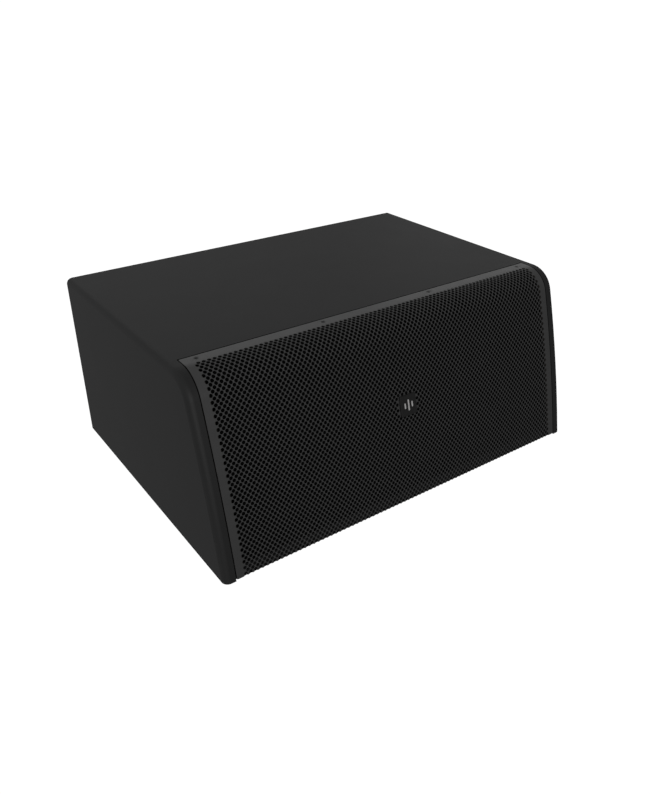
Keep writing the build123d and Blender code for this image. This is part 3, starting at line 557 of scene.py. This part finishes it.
def place(material, stretch=(1, 1, 1), turn=(0, 0, 0)):
    """Places on the object, in metres, stretched and turned."""
    where = add(material, "TexCoord").outputs["Object"]
    return add(material, "Mapping", {"Vector": where, "Scale": stretch, "Rotation": turn}).outputs[0]


def speckle(material, size, detail=3.0, roughness=0.5, stretch=(1, 1, 1)):
    """Noise from 0 to 1 with marks of about that size."""
    inputs = {"Vector": place(material, stretch), "Scale": 1 / size}
    inputs |= {"Detail": detail, "Roughness": roughness}
    return add(material, "TexNoise", inputs).outputs[0]


def cells(material, size):
    """Distance to the nearest cell point, the cells of about that size."""
    inputs = {"Vector": place(material), "Scale": 1 / size}
    return add(material, "TexVoronoi", inputs).outputs["Distance"]


def bands(material, width, direction="Z", turn=(0, 0, 0), distortion=0.0):
    """Even bands from 0 to 1, each of that width."""
    inputs = {"Vector": place(material, turn=turn), "Scale": pi / 10 / width}
    inputs |= {"Distortion": distortion, "Detail": 1.0}
    return add(material, "TexWave", inputs, wave_type="BANDS", bands_direction=direction).outputs[0]


def spread(material, value, low, high, start=0.3, end=0.7):
    """A texture's value carried onto a range."""
    inputs = {"Value": value, "From Min": start, "From Max": end, "To Min": low, "To Max": high}
    return add(material, "MapRange", inputs).outputs[0]


def colour_by(material, value, dark, light):
    """Base colour between two colours as the texture goes from 0 to 1."""
    blend = add(material, "Mix", {"Factor": value}, data_type="RGBA")
    blend.inputs[6].default_value = (*dark, 1)
    blend.inputs[7].default_value = (*light, 1)
    material.node_tree.links.new(blend.outputs[2], shader_of(material).inputs["Base Color"])


def roughness_by(material, value, low, high):
    """Roughness between two values as the texture goes through its middle range."""
    result = spread(material, value, low, high)
    material.node_tree.links.new(result, shader_of(material).inputs["Roughness"])


def relief(material, height, depth, strength=1.0):
    """Bumps of that depth on top of any that the material has."""
    shader = shader_of(material)
    inputs = {"Height": height, "Distance": depth, "Strength": strength}
    if shader.inputs["Normal"].is_linked:
        inputs["Normal"] = shader.inputs["Normal"].links[0].from_socket
    bump = add(material, "Bump", inputs)
    material.node_tree.links.new(bump.outputs[0], shader.inputs["Normal"])


def grey(level, warm=0.0):
    """A grey, slightly warm or, below zero, slightly cool."""
    return (level * (1 + warm), level, level * (1 - warm))


def mottled(name, level, roughness, patch, contrast, warm=0.0, dulling=0.05, **coat):
    """A grey surface with soft patches in its colour and roughness."""
    made = new_material(name, grey(level, warm), roughness, **coat)
    patches = speckle(made, patch)
    dark, light = grey(level * (1 - contrast), warm), grey(level * (1 + contrast), warm)
    colour_by(made, spread(made, patches, 0, 1), dark, light)
    roughness_by(made, patches, roughness - dulling, roughness + dulling)
    return made


# ---------------------------------------------------------------- materials
def painted_seam_shade(made):
    """Painted shade down in the open seam behind the grille: its colour mixed to near black and its
    specular shine turned down.
    """
    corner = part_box("grille")[1]
    walls = (
        (0, corner.x + SEAM),
        (corner.y + SEAM / 2, SEAM / 2 + 0.1 * MM),
        (corner.z - SEAM_UNSHADED_LIP - SEAM_DEPTH / 2, SEAM_DEPTH / 2),
    )
    where = add(made, "SeparateXYZ", {0: place(made)}).outputs
    shade_mask = 1.0
    for axis, (middle, reach) in enumerate(walls):
        near = add(made, "Math", {0: where[axis], 1: middle, 2: reach}, operation="COMPARE")
        inputs = {0: near.outputs[0], 1: shade_mask}
        shade_mask = add(made, "Math", inputs, operation="MULTIPLY").outputs[0]
    links, shader = made.node_tree.links, shader_of(made)
    paint = shader.inputs["Base Color"].links[0].from_socket
    # painted shade: inside the seam the paint colour is mixed to near black
    stain_and_shade = add(made, "Mix", {"Factor": shade_mask}, data_type="RGBA")
    stain_and_shade.inputs[7].default_value = (*grey(0.001), 1)
    links.new(paint, stain_and_shade.inputs[6])
    links.new(stain_and_shade.outputs[2], shader.inputs["Base Color"])
    # painted shade: inside the seam the specular shine is turned almost off
    shine = spread(made, shade_mask, 0.5, 0.02, 0, 1)
    links.new(shine, shader.inputs["Specular IOR Level"])


def cabinet_paint():
    """Sprayed matt paint over sanded plywood: fine orange peel, a faint mottle and painted shade down in
    the seam behind the grille.
    """
    look = {"contrast": 0.03, "warm": -0.01, "dulling": 0.008}
    made = mottled("cabinet_paint", 0.016, 0.52, 60 * MM, **look)
    # painted shade in the seam behind the grille's rim
    painted_seam_shade(made)
    relief(made, speckle(made, 0.9 * MM, detail=2), 0.02 * MM)
    relief(made, speckle(made, 0.25 * MM, detail=1), 0.006 * MM)
    return made


def inner_wood():
    """Black-stained birch plywood with its grain along the panels."""
    made = new_material("inner_wood", (0.03, 0.026, 0.022), 0.7)
    grain = speckle(made, 1.2 * MM, detail=6, roughness=0.65, stretch=(0.05, 1, 1))
    colour_by(made, spread(made, grain, 0, 1), (0.014, 0.012, 0.011), (0.045, 0.037, 0.030))
    roughness_by(made, grain, 0.62, 0.8)
    relief(made, grain, 0.08 * MM)
    return made


def grille_steel():
    """Powder coat on steel: a fine even grain."""
    look = {"contrast": 0.05, "dulling": 0.02, "specular": 0.92}
    made = mottled("grille_steel", 0.055, 0.32, 25 * MM, **look)
    relief(made, speckle(made, 0.35 * MM, detail=2), 0.02 * MM)
    return made


def grille_foam():
    """Open-cell black foam: small round pores."""
    made = new_material("grille_foam", grey(0.002), 0.95, specular=0.05)
    pores = cells(made, 0.9 * MM)
    colour_by(made, spread(made, pores, 0, 1, 0.1, 0.6), grey(0.0008), grey(0.003))
    relief(made, pores, 0.5 * MM)
    return made


def black_screws():
    """Black zinc with fine tool marks."""
    made = mottled("black_screws", 0.035, 0.42, 2 * MM, contrast=0.3, metallic=0.6)
    relief(made, speckle(made, 0.3 * MM), 0.01 * MM)
    return made


def badge_plate():
    """Satin moulded plate with a fine spark-eroded texture."""
    made = mottled("badge_plate", 0.012, 0.45, 4 * MM, contrast=0.08)
    relief(made, speckle(made, 0.2 * MM), 0.008 * MM)
    return made


def badge_mark():
    """Pale print, a little uneven."""
    made = mottled("badge_mark", 0.72, 0.45, 1.5 * MM, contrast=0.05, warm=0.01)
    relief(made, speckle(made, 0.3 * MM), 0.01 * MM)
    return made


def gasket_rubber():
    """Closed-cell gasket with tiny cells on its cut edge."""
    made = mottled("gasket_rubber", 0.02, 0.85, 6 * MM, contrast=0.2)
    relief(made, cells(made, 0.6 * MM), 0.08 * MM)
    return made


def plated_steel():
    """Zinc plate over turned steel: bright, with soft spangle and fine marks."""
    made = mottled("plated_steel", 0.52, 0.3, 7 * MM, contrast=0.08, metallic=1.0)
    relief(made, speckle(made, 0.4 * MM, detail=5, stretch=(0.1, 1, 1)), 0.01 * MM)
    return made


def black_plastic():
    """Moulded plastic with a fine sheen."""
    made = mottled("black_plastic", 0.025, 0.5, 10 * MM, contrast=0.1)
    relief(made, speckle(made, 0.3 * MM), 0.02 * MM)
    return made


def horn_plastic():
    """Moulded horn: smooth with a faint flow pattern."""
    made = mottled("horn_plastic", 0.024, 0.4, 22 * MM, contrast=0.1)
    relief(made, speckle(made, 0.5 * MM), 0.015 * MM)
    return made


def ferrite():
    """Ground ceramic magnet: dull grey, pitted, with grinding streaks."""
    made = mottled("ferrite", 0.07, 0.65, 5 * MM, contrast=0.25)
    relief(made, speckle(made, 0.6 * MM, detail=5, stretch=(0.15, 1, 1)), 0.03 * MM)
    relief(made, cells(made, 2 * MM), 0.02 * MM, strength=0.5)
    return made


def diaphragm_metal():
    """Thin drawn titanium with faint drawing rings."""
    made = mottled("diaphragm_metal", 0.6, 0.28, 3 * MM, contrast=0.05, metallic=1.0)
    relief(made, speckle(made, 0.2 * MM, stretch=(1, 1, 0.2)), 0.005 * MM)
    return made


def circuit_board():
    """Green laminate with tinned tracks under the lacquer and a fine glass weave."""
    made = new_material("circuit_board", (0.02, 0.12, 0.05), 0.35)
    inputs = {"Vector": place(made), "Scale": 1 / (9 * MM), "Mortar Size": 0.03}
    tracks = add(made, "TexBrick", inputs, offset=0.5).outputs["Fac"]
    colour_by(made, tracks, (0.012, 0.09, 0.035), (0.03, 0.2, 0.07))
    relief(made, tracks, 0.03 * MM)
    relief(made, bands(made, 0.5 * MM, "X"), 0.01 * MM)
    return made


def copper_wire():
    """Enamelled copper with soft darker and lighter patches."""
    made = new_material("copper_wire", (0.55, 0.2, 0.08), 0.3, metallic=1.0)
    stain_and_shade = speckle(made, 3 * MM, detail=4)
    colour_by(made, spread(made, stain_and_shade, 0, 1), (0.42, 0.13, 0.05), (0.62, 0.25, 0.1))
    roughness_by(made, stain_and_shade, 0.22, 0.38)
    relief(made, speckle(made, 0.5 * MM), 0.01 * MM)
    return made


def capacitor_film():
    """Wrapped yellow-red film with a slight wrinkle along the roll."""
    made = new_material("capacitor_film", (0.45, 0.05, 0.03), 0.3)
    wrinkle = speckle(made, 3 * MM, detail=4, stretch=(0.2, 1, 1))
    colour_by(made, spread(made, wrinkle, 0, 1), (0.36, 0.035, 0.02), (0.5, 0.07, 0.04))
    relief(made, wrinkle, 0.15 * MM)
    return made


def ceramic():
    """Cement-filled resistor body: chalky and pitted."""
    made = mottled("ceramic", 0.6, 0.85, 3 * MM, contrast=0.12, warm=0.04)
    relief(made, cells(made, 1.1 * MM), 0.08 * MM)
    return made


def dish_steel():
    """Textured powder coat on the pressed dishes."""
    made = mottled("dish_steel", 0.026, 0.55, 15 * MM, contrast=0.1)
    relief(made, speckle(made, 0.8 * MM, detail=3), 0.09 * MM)
    return made


def grip_rubber():
    """Matt moulded rubber, finely pitted."""
    made = mottled("grip_rubber", 0.02, 0.8, 8 * MM, contrast=0.15)
    relief(made, cells(made, 0.7 * MM), 0.04 * MM)
    return made


def socket_plastic():
    """Glass-filled nylon: slightly streaked."""
    made = mottled("socket_plastic", 0.022, 0.48, 5 * MM, contrast=0.15)
    relief(made, speckle(made, 0.3 * MM, detail=4, stretch=(1, 0.3, 1)), 0.02 * MM)
    return made


def foot_rubber():
    """Matt black rubber."""
    made = mottled("foot_rubber", 0.02, 0.85, 6 * MM, contrast=0.2)
    relief(made, speckle(made, 0.5 * MM), 0.04 * MM)
    return made


def lining_felt():
    """Polyester wadding: pale crossed fibres."""
    made = new_material("lining_felt", grey(0.55), 0.95, specular=0.1)
    one = speckle(made, 0.6 * MM, detail=6, roughness=0.7, stretch=(0.15, 1, 1))
    other = speckle(made, 0.6 * MM, detail=6, roughness=0.7, stretch=(1, 1, 0.15))
    colour_by(made, spread(made, one, 0, 1), grey(0.42), grey(0.66))
    relief(made, one, 0.5 * MM)
    relief(made, other, 0.5 * MM)
    return made


def lead_sleeve():
    """Braided sleeve on the inside leads."""
    made = mottled("lead_sleeve", 0.022, 0.6, 4 * MM, contrast=0.2)
    relief(made, bands(made, 0.8 * MM, "DIAGONAL"), 0.15 * MM)
    return made


def cast_aluminium():
    """Black-coated casting with a sandy skin."""
    made = mottled("cast_aluminium", 0.045, 0.55, 12 * MM, contrast=0.15, metallic=0.3)
    relief(made, speckle(made, 0.8 * MM, detail=4), 0.12 * MM)
    return made


def woven(name, dark, light, thread, roughness):
    """Plain-woven cloth: two crossing sets of threads."""
    made = new_material(name, light, roughness, specular=0.2)
    warp = bands(made, thread, "X", distortion=0.4)
    weft = bands(made, thread, "Y", turn=(-pi / 2 + BAFFLE_TILT, 0, 0), distortion=0.4)
    crossing = add(made, "Math", {0: warp, 1: weft}, operation="MULTIPLY").outputs[0]
    colour_by(made, crossing, dark, light)
    relief(made, crossing, 0.12 * MM)
    return made


def surround_cloth():
    """Doped black cloth."""
    return woven("surround_cloth", grey(0.012), grey(0.03), 0.7 * MM, 0.7)


def cone_paper():
    """Coated pulp: fibres pressed at all angles."""
    made = mottled("cone_paper", 0.028, 0.7, 2.5 * MM, contrast=0.3, warm=0.03)
    relief(made, speckle(made, 1.2 * MM, detail=6, roughness=0.7), 0.12 * MM)
    return made


def spider_cloth():
    """Phenolic-treated cloth, brown to gold."""
    return woven("spider_cloth", (0.25, 0.15, 0.05), (0.55, 0.38, 0.16), 0.8 * MM, 0.75)


def coil_wire():
    """Copper-clad wire and its former, stained by heat."""
    made = new_material("coil_wire", (0.6, 0.28, 0.14), 0.32, metallic=1.0)
    stain_and_shade = speckle(made, 2 * MM, detail=3)
    colour_by(made, spread(made, stain_and_shade, 0, 1), (0.5, 0.2, 0.09), (0.68, 0.34, 0.18))
    relief(made, speckle(made, 0.3 * MM), 0.006 * MM)
    return made


MAKERS = (
    cabinet_paint, inner_wood, grille_steel, grille_foam, black_screws, badge_plate, badge_mark,
    gasket_rubber, plated_steel, black_plastic, horn_plastic, ferrite, diaphragm_metal, circuit_board,
    copper_wire, capacitor_film, ceramic, dish_steel, grip_rubber, socket_plastic, foot_rubber,
    lining_felt, lead_sleeve, cast_aluminium, surround_cloth, cone_paper, spider_cloth, coil_wire,
)
MATERIALS = {maker.__name__: maker() for maker in MAKERS}


def dress_cad_nodes():
    """Give each CAD node the material of its slot."""
    for node in NODES.values():
        for holder in node.material_slots:
            slot = holder.material.name
            holder.link = "OBJECT"
            holder.material = MATERIALS[slot]


# ---------------------------------------------------------------- stage, light and camera
CAMERA_PLACE = (-0.6846, -0.9625, 0.7398)
CAMERA_HEADING = radians(35.399)
CAMERA_FALL = radians(29.386)
CAMERA_ROLL = radians(0.046)
CAMERA_LENS = 33.99
STAGE_REACH = 38.0
WHITE_LEVEL = 1.05


def white_surface(name):
    """Plain white that the camera sees, evenly lit by itself."""
    made = bpy.data.materials.new(name)
    made.use_nodes = True
    made.node_tree.nodes.clear()
    glow = add(made, "Emission", {"Strength": WHITE_LEVEL}).outputs[0]
    add(made, "OutputMaterial", {"Surface": glow})
    return made


def only_for_camera(piece):
    """A stage piece that neither lights nor shades the object."""
    piece.visible_diffuse = False
    piece.visible_glossy = False
    piece.visible_transmission = False
    piece.visible_shadow = False


def white_stage():
    """A pale floor without end and a backdrop round it."""
    reach = STAGE_REACH
    corners = [(-reach, -reach, 0), (reach, -reach, 0), (reach, reach, 0), (-reach, reach, 0)]
    floor = mesh_piece("floor", corners, [(0, 1, 2, 3)])
    floor.data.materials.append(white_surface("floor_white"))
    only_for_camera(floor)
    work = bmesh.new()
    bmesh.ops.create_icosphere(work, subdivisions=4, radius=reach)
    mesh = bpy.data.meshes.new("backdrop")
    work.to_mesh(mesh)
    work.free()
    mesh.materials.append(white_surface("backdrop_white"))
    backdrop = bpy.data.objects.new("backdrop", mesh)
    bpy.context.scene.collection.objects.link(backdrop)
    only_for_camera(backdrop)


def room_light(level, slope, ceiling):
    """Soft light from all round, as in a white studio: more along slope, and ceiling more straight up."""
    world = bpy.data.worlds.new("studio")
    world.use_nodes = True
    tree = world.node_tree
    background = tree.nodes["Background"]
    background.inputs["Color"].default_value = (1, 1, 1, 1)
    direction = add(world, "TexCoord").outputs["Generated"]
    along = add(world, "VectorMath", {0: direction, 1: slope}, operation="DOT_PRODUCT").outputs["Value"]
    height = add(world, "SeparateXYZ", {0: direction}).outputs[2]
    up = add(world, "Math", {0: height, 1: 0.0}, operation="MAXIMUM").outputs[0]
    overhead = add(world, "Math", {0: up, 1: ceiling, 2: level}, operation="MULTIPLY_ADD").outputs[0]
    total = add(world, "Math", {0: along, 1: overhead}).outputs[0]
    tree.links.new(total, background.inputs["Strength"])
    bpy.context.scene.world = world


def softbox(name, at, aim, width, height, power):
    """A large rectangular light, in watts, aimed at a point and unseen by the camera."""
    light = bpy.data.lights.new(name, "AREA")
    light.shape = "RECTANGLE"
    light.size, light.size_y = width, height
    light.energy = power
    lamp = bpy.data.objects.new(name, light)
    bpy.context.scene.collection.objects.link(lamp)
    lamp.location = at
    lamp.rotation_mode = "QUATERNION"
    lamp.rotation_quaternion = (Vector(aim) - Vector(at)).to_track_quat("-Z", "Y")
    lamp.visible_camera = False


def camera():
    """A three-quarter view from the front left, a little above."""
    data = bpy.data.cameras.new("camera")
    data.lens = CAMERA_LENS
    data.sensor_width = 36.0
    data.clip_start, data.clip_end = 0.05, 200
    eye = bpy.data.objects.new("camera", data)
    bpy.context.scene.collection.objects.link(eye)
    level = Vector((sin(CAMERA_HEADING), cos(CAMERA_HEADING), 0))
    along = level * cos(CAMERA_FALL) - Vector((0, 0, sin(CAMERA_FALL)))
    aim = along.to_track_quat("-Z", "Y").to_matrix().to_4x4()
    roll = Matrix.Rotation(CAMERA_ROLL, 4, "Z")
    eye.matrix_world = Matrix.Translation(CAMERA_PLACE) @ aim @ roll
    bpy.context.scene.camera = eye


# ---------------------------------------------------------------- the scene
camera()
white_stage()
room_light(0.233, slope=(-0.11, 0.005, 0.129), ceiling=-0.053)
softbox("softbox_rear_right", (2.1, 1.36, 1.12), (0.2, 0.0, 0.3), 1.3, 0.9, power=1.2)
softbox("softbox_rear", (0.8, 3.2, 2.2), (0.0, 0.0, 0.3), 3.2, 1.2, power=3.2)
softbox("softbox_front", (-1.0, -3.0, 0.9), (-0.1, -0.2, 0.15), 2.4, 1.4, power=14)
bpy.context.scene.view_settings.view_transform = "Standard"

dress_cad_nodes()
perforated_grille()
foam_behind_grille()
for side in SIDES:
    surround(side)
    spider(side)
    voice_coil(side)
damping_lining()
inductors()
handle_grip()
